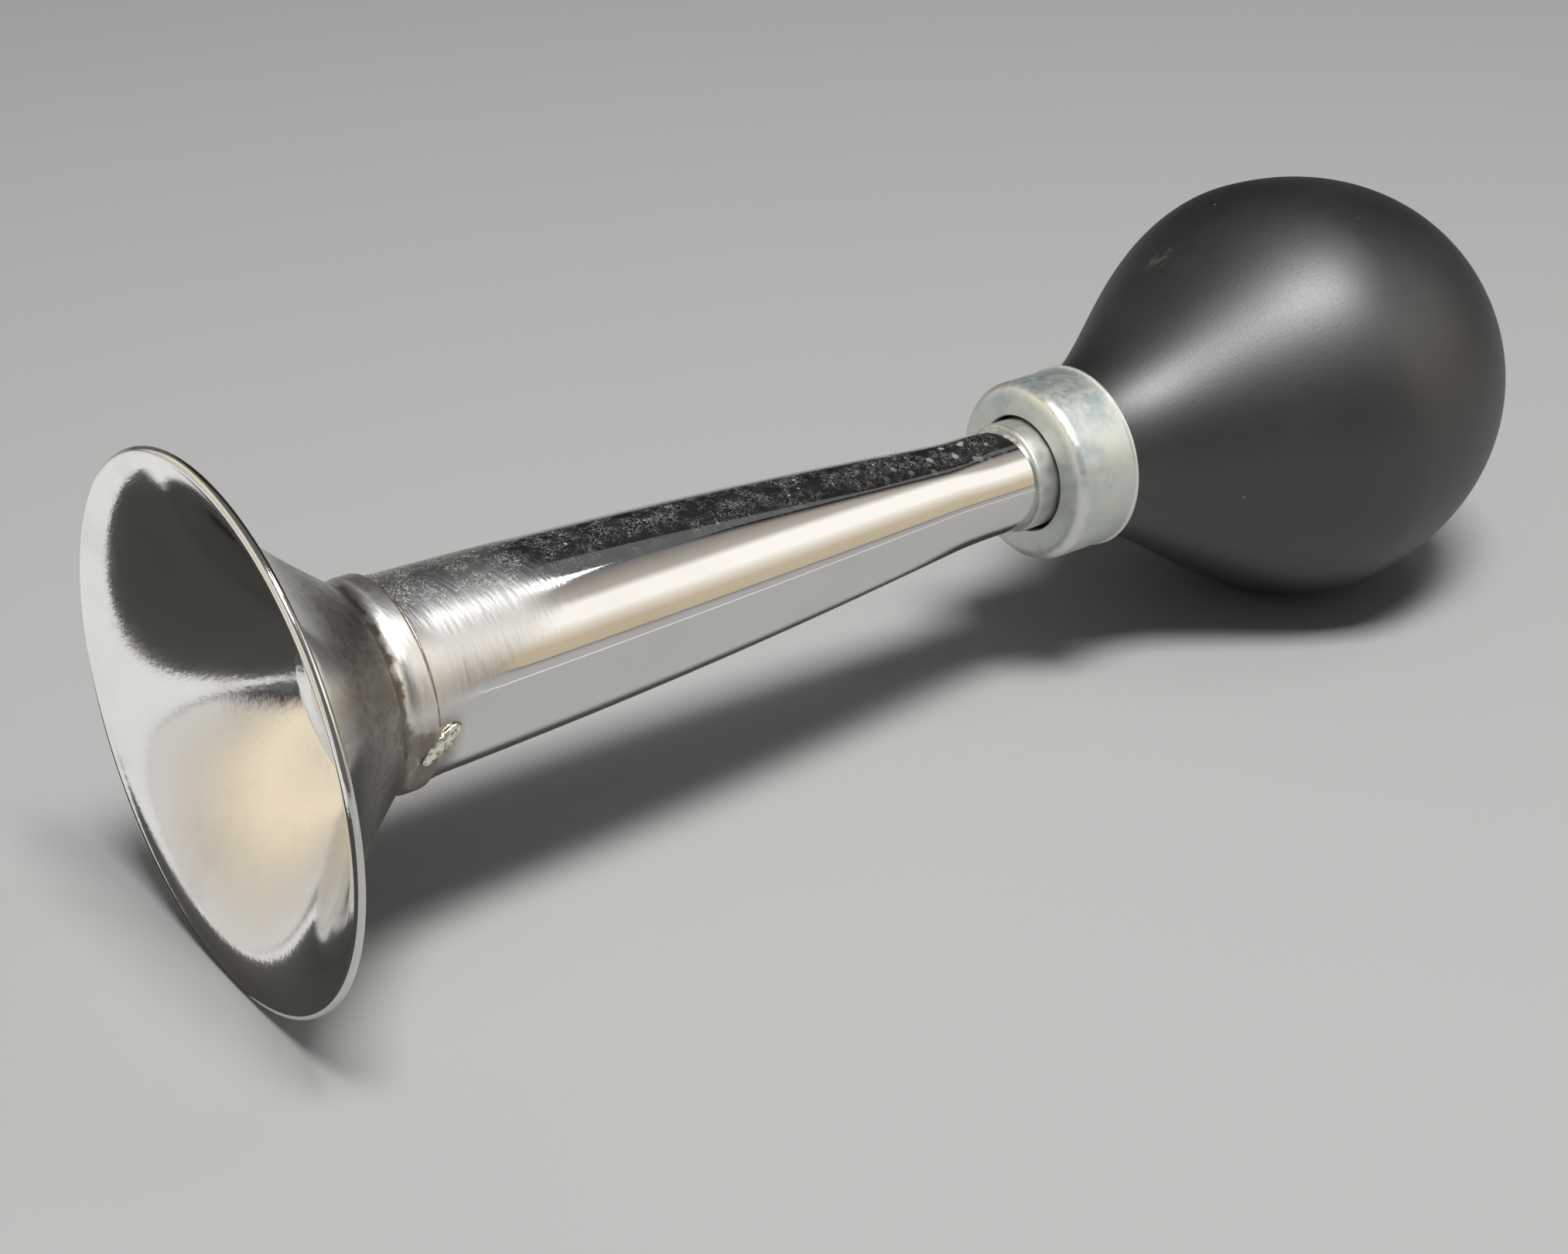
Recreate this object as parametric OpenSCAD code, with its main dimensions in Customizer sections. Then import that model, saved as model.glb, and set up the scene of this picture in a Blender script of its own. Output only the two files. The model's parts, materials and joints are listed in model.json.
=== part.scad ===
// Bulb horn: a flared bell soldered into a tapering tube, a reed in the tube's neck,
// and a rubber bulb that screws on the neck with its collar.
// It lies on its rim and its bulb. Stations along the horn are counted from the mouth.

/* [Bell] */
// Outside diameter over the rolled rim
mouth_d = 80; // [66:1:100]
// Length from the mouth to the fold where the flare ends
bell_length = 21.4; // [17:0.2:30]
// Station of the point that draws the flare inwards
flare_pull_at = 3.4; // [2:0.2:8]
// Diameter of the point that draws the flare inwards
flare_pull_d = 58.8; // [50:0.4:64]
// Sheet thickness of the bell
bell_wall = 0.7; // [0.5:0.1:1]
// Thickness of the rolled rim
rim_d = 1.5; // [1.2:0.1:2.4]
// Length of the fold between flare and spigot
fold_length = 0.8; // [0.6:0.1:1.2]
// Radial height of the fold over the spigot
fold_step = 2.1; // [1.2:0.1:3]
// Length of the spigot behind the fold
spigot_length = 9.6; // [7:0.2:14]

/* [Joint band] */
// Thickness of the band round the joint
band_t = 2.2; // [1.4:0.1:3.4]
// Length of the band
band_length = 4.3; // [3.2:0.1:7]
// Rounding of the band's front edge
band_round = 1.8; // [1:0.1:2.2]
// Rounding of the band's rear edge
band_rear_round = 0.6; // [0.3:0.1:1]
// Thickness of the solder between spigot and tube
solder_t = 0.34; // [0.2:0.02:0.5]
// Length of the solder behind the band
solder_length = 3.2; // [2:0.2:4.4]

/* [Tube] */
// Outside diameter where the long taper starts
tube_front_d = 29.4; // [26:0.2:34]
// How far the tube's lip flares out at the band
tube_lip_rise = 0.5; // [0:0.1:1]
// Length of the flared lip
tube_lip_length = 5; // [3:0.5:8]
// Length of the lip and the taper together
taper_length = 103; // [80:1:140]
// Outside diameter of the tube's plain end
tube_end_d = 16.8; // [15:0.1:20]
// Length of the tube's plain end
tube_end_length = 11; // [8:0.5:20]
// Outward bow of the taper at its middle
tube_bow = 0.9; // [0:0.1:1.6]
// Wall of the tube
tube_wall = 0.8; // [0.6:0.1:1]

/* [Neck socket] */
// Radial step from the tube's end to the socket's shoulder
shoulder_step = 0.6; // [0.3:0.1:1.2]
// Length of the shoulder
shoulder_length = 6.5; // [5.5:0.1:9]
// Rounding of the shoulder's front edge
shoulder_round = 0.5; // [0.2:0.1:0.8]
// How far the shoulder stands out of the collar
shoulder_proud = 3.5; // [2:0.1:4]
// Length of the sleeve soldered inside the tube's end
sleeve_length = 10; // [6:0.5:16]
// Bore of the socket
socket_bore_d = 9; // [7:0.2:10]
// Radial step from the shoulder down to the thread
thread_step = 1; // [0.6:0.1:1.4]
// Length of the threaded spigot
thread_length = 14; // [13:0.5:18]
// Wall of the threaded spigot round the reed block
thread_wall = 1.5; // [1:0.1:2]
// Thickness of the sealing washer
washer_t = 1.5; // [1:0.1:2]

/* [Reed] */
// Length of the reed block in the socket
block_length = 8.7; // [6:0.1:10]
// Wall of the reed block round the shallot
block_wall = 1.8; // [1:0.1:2.2]
// Thickness of the reed block's flange
block_flange_t = 1.5; // [1:0.1:2.5]
// Radial inset of the flange from the thread
block_flange_inset = 0.3; // [0.2:0.1:0.8]
// How far the shallot stays back in the block
shallot_setback = 0.7; // [0.2:0.1:2]
// How far the shallot stands out of the block
shallot_reach = 27.5; // [25:0.5:34]
// Bore of the shallot
shallot_bore_d = 3.8; // [3:0.1:4]
// Metal between the shallot's bore and its flat
flat_skin = 0.5; // [0.3:0.05:0.7]
// Thickness of the shallot's closed end
shallot_cap = 3; // [2:0.5:4]
// Width of the slot in the flat
slot_w = 2.6; // [2:0.1:2.8]
// Metal left at each end of the slot
slot_land = 1; // [0.6:0.1:2]
// Width of the tongue
tongue_w = 3.6; // [3:0.1:3.8]
// Thickness of the tongue
tongue_t = 0.3; // [0.2:0.05:0.4]
// Free length of the tongue, from its pivot to its tip
tongue_length = 22.5; // [18:0.5:23.5]
// Angle at which the tongue stands open at rest
tongue_open = 3; // [2:0.1:4]
// Space between the block and the clamp
clamp_setback = 1; // [0.5:0.1:1.6]
// Length of the clamp along the shallot
clamp_length = 3; // [2.6:0.1:3.4]
// Height of the clamp over its groove
clamp_t = 0.8; // [0.6:0.1:1.2]
// Metal between the clamp's groove and its screws
clamp_land = 0.4; // [0.3:0.05:0.5]
// Shank diameter of the clamp screws
screw_d = 1.1; // [0.8:0.1:1.2]
// Head diameter of the clamp screws
screw_head_d = 2; // [1.6:0.1:2.2]
// Head height of the clamp screws
screw_head_t = 0.6; // [0.4:0.1:0.9]
// Depth of the clamp screws in the shallot
screw_depth = 1.4; // [1:0.1:1.8]

/* [Collar] */
// Length of the collar
collar_length = 12; // [10:0.5:15]
// Wall of the collar
collar_wall = 1.2; // [0.8:0.1:1.6]
// Thickness of the collar's front face
collar_front = 1.5; // [1:0.1:2]
// Rounding of the collar's front edge
collar_round = 2; // [1:0.1:2.6]
// How far the collar's rear lip stands out
collar_lip = 0.3; // [0.2:0.05:0.6]

/* [Bulb] */
// Largest diameter of the bulb
bulb_d = 72.4; // [60:0.4:84]
// Length of the bulb behind the collar
bulb_length = 87; // [78:1:104]
// Distance from the collar to the bulb's widest place
bulb_belly_at = 47; // [44:1:54]
// Rubber between the bush and the collar
neck_wall = 3.2; // [2.6:0.1:4]
// Radial step down from the neck in the collar to the bulb behind it
neck_step = 0.6; // [0.2:0.1:0.8]
// How far the bulb's outline spreads over the slim stretch behind the collar
neck_spread = 4; // [1:0.5:8]
// Length of the slim stretch behind the collar
neck_reach = 16; // [10:1:20]
// Length over which the belly stays full towards the neck
belly_reach = 15; // [10:1:22]
// Fullness of the bulb's rear end, from a cone at 0 to a square corner at 1
rear_fullness = 0.6; // [0.5:0.02:0.7]
// Wall of the bulb
bulb_wall = 3; // [2:0.2:3.6]
// Depth of the flat where the bulb rests
rest_flat = 0.3; // [0.2:0.05:0.6]
// Wall of the threaded bush
bush_wall = 2.3; // [1.8:0.1:3]
// Length of the threaded bush
bush_length = 11; // [9:0.5:12]
// Radial step of the bush's rear flange
bush_flange_step = 1.1; // [0.6:0.1:1.6]
// Thickness of the bush's rear flange
bush_flange_t = 1.6; // [1:0.1:2.2]
// Diameter of the pressed side of the bulb
side_d = 48; // [36:1:52]

/* [Fits] */
// Radial clearance of the thread and the washer
running_gap = 0.05; // [0.02:0.01:0.1]
// Clearance of glued, soldered and pressed places
bond_gap = 0.03; // [0.02:0.01:0.05]
// Clearance round the pressed sides of the bulb
side_gap = 0.3; // [0.2:0.05:0.5]
// Clearance round the tongue's root
tongue_gap = 0.15; // [0.12:0.01:0.2]
// Clearance between the shoulder and the collar's hole
collar_gap = 0.6; // [0.4:0.05:1]
// Clearance between the washer and the collar's hole
washer_gap = 0.3; // [0.2:0.05:0.4]

/* [Hidden] */
$fn = 128;
small_fn = 32;
curve_steps = 18;
round_steps = 6;
overrun = 1;

// stations along the horn's axis
fold_end = bell_length + fold_length;
spigot_end = bell_length + spigot_length;
band_front = fold_end + bond_gap;
band_rear = band_front + band_length;
tube_front = band_rear;
taper_start = tube_front + tube_lip_length;
taper_end = tube_front + taper_length;
tube_end = taper_end + tube_end_length;
shoulder_rear = tube_end + shoulder_length;
collar_face = tube_end + shoulder_proud;
collar_inner_face = collar_face + collar_front;
collar_rear = collar_face + collar_length;
thread_end = shoulder_rear + thread_length;
bush_front = shoulder_rear + washer_t;
bush_rear = bush_front + bush_length;
block_front = thread_end - block_length;
flange_rear = thread_end + block_flange_t;
shallot_front = block_front + shallot_setback;
shallot_end = flange_rear + shallot_reach;
clamp_front = flange_rear + clamp_setback;
pivot_at = clamp_front + clamp_length / 2;
slot_front = clamp_front + clamp_length + slot_land;
slot_rear = shallot_end - shallot_cap - slot_land;
belly_at = collar_rear + bulb_belly_at;
bulb_end = collar_rear + bulb_length;

// radii of the bell's joint, from the tube inwards and out again to the band
spigot_r = tube_front_d / 2 - tube_wall - solder_t - 2 * bond_gap;
spigot_hole_r = spigot_r + bond_gap;
flare_end_r = spigot_r + fold_step;
band_r = spigot_hole_r + band_t;

// radii of the neck, from the tube's end out to the collar
shoulder_r = tube_end_d / 2 + shoulder_step;
thread_r = shoulder_r - thread_step;
thread_hole_r = thread_r + running_gap;
collar_hole_r = shoulder_r + collar_gap;
washer_r = collar_hole_r - washer_gap;
bush_r = thread_hole_r + bush_wall;
bush_flange_r = bush_r + bush_flange_step;
neck_r = bush_r + bond_gap + neck_wall;
collar_bore_r = neck_r + bond_gap;
collar_r = collar_bore_r + collar_wall;
belly_r = bulb_d / 2;

// radii of the reed, from the thread inwards
block_hole_r = thread_r - thread_wall;
block_r = block_hole_r - bond_gap;
block_flange_r = thread_r - block_flange_inset;
shallot_hole_r = block_r - block_wall;
shallot_r = shallot_hole_r - bond_gap;

// heights and widths of the reed's clamp over the shallot's flat
flat_height = shallot_bore_d / 2 + flat_skin;
tongue_dip = clamp_length / 2 * sin(2 * tongue_open);
groove_h = 2 * (tongue_gap + tongue_dip) + tongue_t;
groove_w = tongue_w + 2 * tongue_gap;
pivot_z = flat_height + groove_h / 2;
clamp_top = flat_height + groove_h + clamp_t;
screw_hole_d = screw_d + 2 * bond_gap;
screw_y = groove_w / 2 + clamp_land + screw_hole_d / 2;
clamp_w = 2 * screw_y + screw_hole_d + 2 * clamp_land;

// curves as lists of [radius, station]
function cubic(a, b, c, d) = [for (i = [0 : curve_steps]) let (t = i / curve_steps, u = 1 - t)
    u^3 * a + 3 * u^2 * t * b + 3 * u * t^2 * c + t^3 * d];
function quadratic(a, b, c) = [for (i = [0 : curve_steps]) let (t = i / curve_steps, u = 1 - t)
    u^2 * a + 2 * u * t * b + t^2 * c];
function arc(centre, r, from, to) = [for (i = [0 : round_steps])
    let (a = from + (to - from) * i / round_steps) centre + r * [cos(a), sin(a)]];
function reversed(v) = [for (i = [len(v) - 1 : -1 : 0]) v[i]];
// direction across one stretch of a curve, towards the axis
function across(v, i) = let (d = v[i + 1] - v[i]) [-d[1], d[0]] / norm(d);
// the same curve moved by a wall towards the axis, with mitred corners
function inset(v, wall) = [for (i = [0 : len(v) - 1])
    let (a = across(v, max(i - 1, 0)), b = across(v, min(i, len(v) - 2)))
    v[i] + wall * (a + b) / (1 + a * b)];

// outline of the bell's sheet, from the rim over the fold to the spigot's end
rim_centre = [(mouth_d - rim_d) / 2, rim_d / 2];
flare = quadratic(rim_centre, [flare_pull_d / 2, flare_pull_at], [flare_end_r, bell_length]);
bell_outline = concat(flare, [[spigot_r, fold_end], [spigot_r, spigot_end]]);

// outside radius of the tube at a station
function lip_r(s) = tube_front_d / 2 + tube_lip_rise * (1 - (s - tube_front) / tube_lip_length)^2;
function taper_r(s) = let (t = (s - taper_start) / (taper_end - taper_start))
    tube_front_d / 2 + (tube_end_d - tube_front_d) / 2 * t + 4 * tube_bow * t * (1 - t);
function tube_r(s) = s < taper_start ? lip_r(s) : taper_r(s);
tube_lip = [for (i = [0 : round_steps - 1]) let (s = tube_front + tube_lip_length * i / round_steps)
    [tube_r(s), s]];
tube_taper = [for (i = [0 : curve_steps]) let (s = taper_start + (taper_end - taper_start) * i / curve_steps)
    [tube_r(s), s]];
tube_outline = concat(tube_lip, tube_taper, [[tube_end_d / 2, tube_end]]);

// outline of the bulb, from the collar to the rear pole
neck_out_r = neck_r - neck_step;
rear_length = bulb_length - bulb_belly_at;
bulb_front_curve = cubic([neck_out_r, collar_rear], [neck_out_r + neck_spread, collar_rear + neck_reach],
    [belly_r, belly_at - belly_reach], [belly_r, belly_at]);
bulb_rear_curve = cubic([belly_r, belly_at], [belly_r, belly_at + rear_fullness * rear_length],
    [belly_r * rear_fullness, bulb_end], [0, bulb_end]);
bulb_outline = concat(bulb_front_curve, [for (i = [1 : curve_steps]) bulb_rear_curve[i]]);

// how far the rim and the bulb reach below the axis when the horn is tilted
function rim_drop(a) = rim_centre[0] * cos(a) + rim_centre[1] * sin(a) + rim_d / 2;
function bulb_drop(a) = max([for (p = bulb_outline) p[0] * cos(a) + p[1] * sin(a)]) - rest_flat;
// tilt at which both reach equally low
function level_tilt(a, tries) = tries == 0 ? a
    : level_tilt(a + (rim_drop(a) - bulb_drop(a)) / belly_at * 180 / PI, tries - 1);
lie_tilt = level_tilt(0, 8);
lie_height = rim_drop(lie_tilt);
front_reach = rim_centre[1] * cos(lie_tilt) - rim_centre[0] * sin(lie_tilt) - rim_d / 2;
rear_reach = max([for (p = bulb_outline) p[1] * cos(lie_tilt) + p[0] * sin(lie_tilt)]);
lie_x = -(front_reach + rear_reach) / 2;

// puts the horn's axis where it lies: mouth towards -X, rim and bulb on the ground
module lying() {
    translate([lie_x, 0, lie_height]) rotate([0, lie_tilt, 0]) children();
}

// solid of revolution about the horn's axis
module turned(outline) {
    rotate([0, 90, 0]) rotate_extrude() polygon(outline);
}

// round rod or hole along the horn's axis
module rod(r, from, to) {
    translate([from, 0, 0]) rotate([0, 90, 0]) cylinder(r = r, h = to - from);
}

module bell() {
    color("silver") lying() {
        turned(concat(bell_outline, reversed(inset(bell_outline, bell_wall))));
        rotate([0, 90, 0]) rotate_extrude() translate(rim_centre) circle(d = rim_d, $fn = small_fn);
    }
}

module joint_band() {
    front_round = min(band_round, band_t);
    color("gainsboro") lying() turned(concat([[spigot_hole_r, band_rear], [spigot_hole_r, band_front]],
        arc([band_r - front_round, band_front + front_round], front_round, -90, 0),
        arc([band_r - band_rear_round, band_rear - band_rear_round], band_rear_round, 0, 90)));
}

module solder_ring() {
    outline = [for (i = [0 : round_steps]) let (s = tube_front + solder_length * i / round_steps)
        [tube_r(s) - tube_wall - bond_gap, s]];
    color("lightgray") lying() turned(concat([[spigot_hole_r, tube_front]], outline,
        [[spigot_hole_r, tube_front + solder_length]]));
}

module cone_tube() {
    bore = [for (p = tube_outline) p - [tube_wall, 0]];
    color("silver") lying() turned(concat(tube_outline, reversed(bore)));
}

module neck_socket() {
    sleeve_r = tube_end_d / 2 - tube_wall - bond_gap;
    sleeve_front = tube_end - sleeve_length;
    color("darkgray") lying() difference() {
        turned(concat([[0, sleeve_front], [sleeve_r, sleeve_front], [sleeve_r, tube_end]],
            arc([shoulder_r - shoulder_round, tube_end + shoulder_round], shoulder_round, -90, 0),
            [[shoulder_r, shoulder_rear], [thread_r, shoulder_rear],
            [thread_r, thread_end], [0, thread_end]]));
        rod(socket_bore_d / 2, sleeve_front - overrun, thread_end + overrun);
        rod(block_hole_r, block_front - bond_gap, thread_end + overrun);
    }
}

module reed_block() {
    color("goldenrod") lying() difference() {
        union() {
            rod(block_r, block_front, flange_rear);
            rod(block_flange_r, thread_end, flange_rear);
        }
        rod(shallot_hole_r, block_front - overrun, flange_rear + overrun);
    }
}

module reed_shallot() {
    color("darkgoldenrod") lying() difference() {
        rod(shallot_r, shallot_front, shallot_end);
        rod(shallot_bore_d / 2, shallot_front - overrun, shallot_end - shallot_cap);
        translate([flange_rear + bond_gap, -shallot_r, flat_height])
            cube([shallot_reach + overrun, 2 * shallot_r, shallot_r]);
        translate([slot_front, -slot_w / 2, 0]) cube([slot_rear - slot_front, slot_w, shallot_r]);
        for (side = [-1, 1]) translate([pivot_at, side * screw_y, flat_height - screw_depth - bond_gap])
            cylinder(d = screw_hole_d, h = shallot_r, $fn = small_fn);
    }
}

module reed_tongue() {
    root = clamp_length / 2;
    color("khaki") lying() translate([pivot_at, 0, pivot_z]) rotate([0, -tongue_open, 0])
        translate([-root, -tongue_w / 2, -tongue_t / 2]) cube([root + tongue_length, tongue_w, tongue_t]);
}

module reed_clamp() {
    color("gold") lying() difference() {
        translate([clamp_front, -clamp_w / 2, flat_height])
            cube([clamp_length, clamp_w, clamp_top - flat_height]);
        translate([clamp_front - overrun, -groove_w / 2, flat_height - overrun])
            cube([clamp_length + 2 * overrun, groove_w, groove_h + overrun]);
        for (side = [-1, 1]) translate([pivot_at, side * screw_y, 0])
            cylinder(d = screw_hole_d, h = clamp_top + overrun, $fn = small_fn);
    }
}

module reed_screws() {
    shank_bottom = flat_height - screw_depth;
    color("lightsteelblue") lying() for (side = [-1, 1]) translate([pivot_at, side * screw_y, 0]) {
        translate([0, 0, shank_bottom]) cylinder(d = screw_d, h = clamp_top - shank_bottom, $fn = small_fn);
        translate([0, 0, clamp_top]) cylinder(d = screw_head_d, h = screw_head_t, $fn = small_fn);
    }
}

module neck_washer() {
    color("saddlebrown") lying() difference() {
        rod(washer_r, shoulder_rear, bush_front);
        rod(thread_hole_r, shoulder_rear - overrun, bush_front + overrun);
    }
}

module collar() {
    lip_r = collar_r + collar_lip;
    color("lightslategray") lying() difference() {
        turned(concat([[0, collar_face]],
            arc([collar_r - collar_round, collar_face + collar_round], collar_round, -90, 0),
            [[collar_r, collar_rear - 2 * collar_lip], [lip_r, collar_rear - collar_lip],
            [lip_r, collar_rear], [0, collar_rear]]));
        rod(collar_hole_r, collar_face - overrun, collar_rear);
        rod(collar_bore_r, collar_inner_face, collar_rear + overrun);
    }
}

module bulb_bush() {
    color("peru") lying() difference() {
        union() {
            rod(bush_r, bush_front, bush_rear);
            rod(bush_flange_r, bush_rear - bush_flange_t, bush_rear);
        }
        rod(thread_hole_r, bush_front - overrun, bush_rear + overrun);
    }
}

// the whole rubber wall, before its sides are parted
module bulb_shell() {
    neck_front = collar_inner_face + bond_gap;
    inside = [for (p = inset(bulb_outline, bulb_wall)) if (p[1] > bush_rear) [max(p[0], 0), p[1]]];
    air_r = inside[0][0];
    difference() {
        lying() difference() {
            turned(concat([[0, neck_front], [neck_r, neck_front], [neck_r, collar_rear]], bulb_outline));
            turned(concat([[0, bush_rear], [air_r, bush_rear]], inside));
            rod(collar_hole_r, neck_front - overrun, bush_front);
            rod(bush_r + bond_gap, bush_front, bush_rear);
            rod(bush_flange_r + bond_gap, bush_rear - bush_flange_t - bond_gap, bush_rear + bond_gap);
        }
        translate([0, 0, -belly_r]) cube([4 * bulb_length, 2 * bulb_d, 2 * belly_r], center = true);
    }
}

// round plug across the bulb at its widest place, on the left at -1 and on the right at 1
module side_plug(d, side) {
    lying() translate([belly_at, 0, 0]) rotate([-90 * side, 0, 0]) cylinder(d = d, h = bulb_d);
}

module bulb() {
    color([0.12, 0.12, 0.13]) difference() {
        bulb_shell();
        for (side = [-1, 1]) side_plug(side_d + 2 * side_gap, side);
    }
}

module bulb_side(side) {
    color([0.2, 0.2, 0.22]) intersection() {
        bulb_shell();
        side_plug(side_d, side);
    }
}

module bulb_left_side() {
    bulb_side(-1);
}

module bulb_right_side() {
    bulb_side(1);
}

bell();
joint_band();
solder_ring();
cone_tube();
neck_socket();
reed_block();
reed_shallot();
reed_tongue();
reed_clamp();
reed_screws();
neck_washer();
collar();
bulb_bush();
bulb();
bulb_left_side();
bulb_right_side();
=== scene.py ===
"""Bulb horn: chromed bell and tube, zinc-plated collar, rubber bulb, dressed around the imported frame."""
import json
import math

import bmesh
import bpy
from mathutils import Matrix, Vector, noise


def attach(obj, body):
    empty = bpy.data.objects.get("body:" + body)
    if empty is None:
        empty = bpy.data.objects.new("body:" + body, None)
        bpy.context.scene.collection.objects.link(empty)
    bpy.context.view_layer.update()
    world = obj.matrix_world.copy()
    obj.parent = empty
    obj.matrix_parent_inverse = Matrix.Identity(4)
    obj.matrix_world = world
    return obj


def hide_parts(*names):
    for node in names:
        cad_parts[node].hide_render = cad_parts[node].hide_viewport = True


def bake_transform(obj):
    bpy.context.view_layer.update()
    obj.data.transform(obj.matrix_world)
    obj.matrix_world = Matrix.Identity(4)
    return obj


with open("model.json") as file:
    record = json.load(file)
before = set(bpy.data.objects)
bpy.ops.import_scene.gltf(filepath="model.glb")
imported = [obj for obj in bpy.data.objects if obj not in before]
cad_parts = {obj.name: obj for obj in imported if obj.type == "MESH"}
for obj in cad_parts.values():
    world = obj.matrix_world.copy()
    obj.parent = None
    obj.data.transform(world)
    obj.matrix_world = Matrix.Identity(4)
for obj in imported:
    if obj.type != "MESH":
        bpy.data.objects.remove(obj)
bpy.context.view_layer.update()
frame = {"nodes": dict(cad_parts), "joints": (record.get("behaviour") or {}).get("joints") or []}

MM = 0.001

# The horn's axis, from the joint that the bulb turns on
TURN_STATION = 150 * MM
turn = next(joint for joint in frame["joints"] if joint["name"] == "bulb_turn")
AXIS = Vector(turn["axis"]).normalized()
MOUTH = Vector(turn["pos_m"]) - AXIS * TURN_STATION
TILT = math.atan2(-AXIS.z, AXIS.x)
LYING = Matrix.Translation(MOUTH) @ Matrix.Rotation(TILT, 4, "Y")

# Bell
MOUTH_R = 40 * MM
RIM_R = 0.75 * MM
ROLL_START, ROLL_END = -120, 105
FLARE_PULL = (3.4 * MM, 29.4 * MM)
FLARE_END = (21.4 * MM, 15.6 * MM)
SPIGOT_R = 13.5 * MM
FOLD_END = 22.2 * MM
SPIGOT_END = 31 * MM
BELL_WALL = 0.7 * MM
FOLD_TRIM, ROOT_TRIM = 0.5 * MM, 0.6 * MM

# Band and tube
BAND_FRONT, BAND_REAR = 22.23 * MM, 26.53 * MM
BAND_R, BAND_HOLE_R = 15.73 * MM, 13.53 * MM
BAND_ROUND, BAND_REAR_ROUND = 1.8 * MM, 0.6 * MM
LIP_RISE, LIP_LENGTH = 0.5 * MM, 5 * MM
TAPER_FRONT_R, TAPER_END_R = 14.7 * MM, 8.4 * MM
TAPER_START, TAPER_END = 31.53 * MM, 129.53 * MM
TAPER_BOW = 0.9 * MM
TUBE_END = 140.53 * MM
TUBE_WALL, TUBE_BEND_TRIM = 0.8 * MM, 5 * MM

# Solder that shows in front of the band, behind it and low on its side
FILLET_FRONT, FILLET_REAR = (20.5 * MM, 16.3 * MM), (23.3 * MM, 15.58 * MM)
FILLET_PULLS = ((21.5 * MM, 15.5 * MM), (22.4 * MM, 15.2 * MM))
FILLET_ROOT = (22.1 * MM, 14.2 * MM)
SEAM_AT, SEAM_SEAT_R, SEAM_BEAD_R = 26.6 * MM, 15.2 * MM, 0.17 * MM
LUMP_AT, LUMP_SEAT_R, LUMP_TURN = 26.9 * MM, 15.3 * MM, math.radians(101)
LUMP_SIZE = (4.0 * MM, 1.5 * MM, 0.55 * MM)
LUMP_SLANT, LUMP_PITCH = math.radians(34), math.radians(9.6)
LUMP_CREASE, LUMP_ROUGH = 0.9 * MM, 0.2 * MM
CREASE_FALL, CREASE_STEP, CREASE_LAYERS = 0.8, 2.1, 4

# Neck socket
SLEEVE_FRONT, SLEEVE_R = 130.53 * MM, 7.57 * MM
SHOULDER_R, SHOULDER_REAR = 9 * MM, 147.03 * MM
SHOULDER_ROUND = 0.5 * MM
THREAD_R, THREAD_ROOT_R, THREAD_END = 7.98 * MM, 7.45 * MM, 161.03 * MM
THREAD_PITCH, THREAD_CREST, THREAD_RUNOUT = 1.5 * MM, 0.3 * MM, 1 * MM
THREAD_SINK = 0.1 * MM
BLOCK_HOLE_R, BLOCK_FRONT = 6.5 * MM, 152.3 * MM
SOCKET_BORE_R = 4.5 * MM

# Collar and bulb
COLLAR_FACE, COLLAR_REAR = 144.03 * MM, 156.03 * MM
COLLAR_R, COLLAR_BORE_R, COLLAR_HOLE_R = 14.81 * MM, 13.61 * MM, 9.6 * MM
COLLAR_FRONT, COLLAR_ROUND, COLLAR_LIP = 1.5 * MM, 2 * MM, 0.3 * MM
COLLAR_INNER_FACE = COLLAR_FACE + COLLAR_FRONT
NECK_R, NECK_OUT_R = 13.58 * MM, 12.98 * MM
NECK_SPREAD, NECK_REACH = 4 * MM, 16 * MM
BELLY_R, BELLY_AT, BELLY_REACH = 36.2 * MM, 203.03 * MM, 15 * MM
BULB_END, REAR_FULLNESS = 243.03 * MM, 0.6
BULB_WALL = 3 * MM
BUSH_FRONT, BUSH_REAR = 148.53 * MM, 159.53 * MM
BUSH_R, FLANGE_R, FLANGE_FRONT = 10.38 * MM, 11.48 * MM, 157.9 * MM

# How finely turned pieces and curves are divided
TURNED_STEPS, THREAD_STEPS = 192, 64
FLARE_STEPS, ROLL_STEPS, FILLET_STEPS, SEAM_STEPS = 60, 20, 16, 23
LIP_STEPS, TAPER_STEPS, BEND_STEPS = 8, 48, 4
BULB_FRONT_STEPS, BULB_REAR_STEPS = 48, 40
ROUND_STEPS, SMALL_ROUND_STEPS, CORNER_STEPS = 14, 8, 6

# Corners past this angle keep an edge, points this close are one, and faces this square to the side are a cut
SHARP = math.radians(40)
TOUCHING = 0.001 * MM
CUT_FACE = 0.99


# Outlines are lists of (station, radius)
def bezier(points, steps):
    """Points along a Bezier curve, both ends included."""
    out = []
    for i in range(steps + 1):
        t = i / steps
        level = [Vector(p) for p in points]
        while len(level) > 1:
            level = [a.lerp(b, t) for a, b in zip(level, level[1:])]
        out.append(tuple(level[0]))
    return out


def arc(centre, radius, start, end, steps):
    """Points along an arc; angles in degrees, 0 away from the axis and 90 towards the bulb."""
    out = []
    for i in range(steps + 1):
        a = math.radians(start + (end - start) * i / steps)
        out.append((centre[0] + radius * math.sin(a), centre[1] + radius * math.cos(a)))
    return out


def softened(before, corner, after, trim):
    """A corner rounded over a trim length on both sides."""
    corner = Vector(corner)
    start = corner + (Vector(before) - corner).normalized() * trim
    end = corner + (Vector(after) - corner).normalized() * trim
    return bezier([start, corner, end], CORNER_STEPS)


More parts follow.
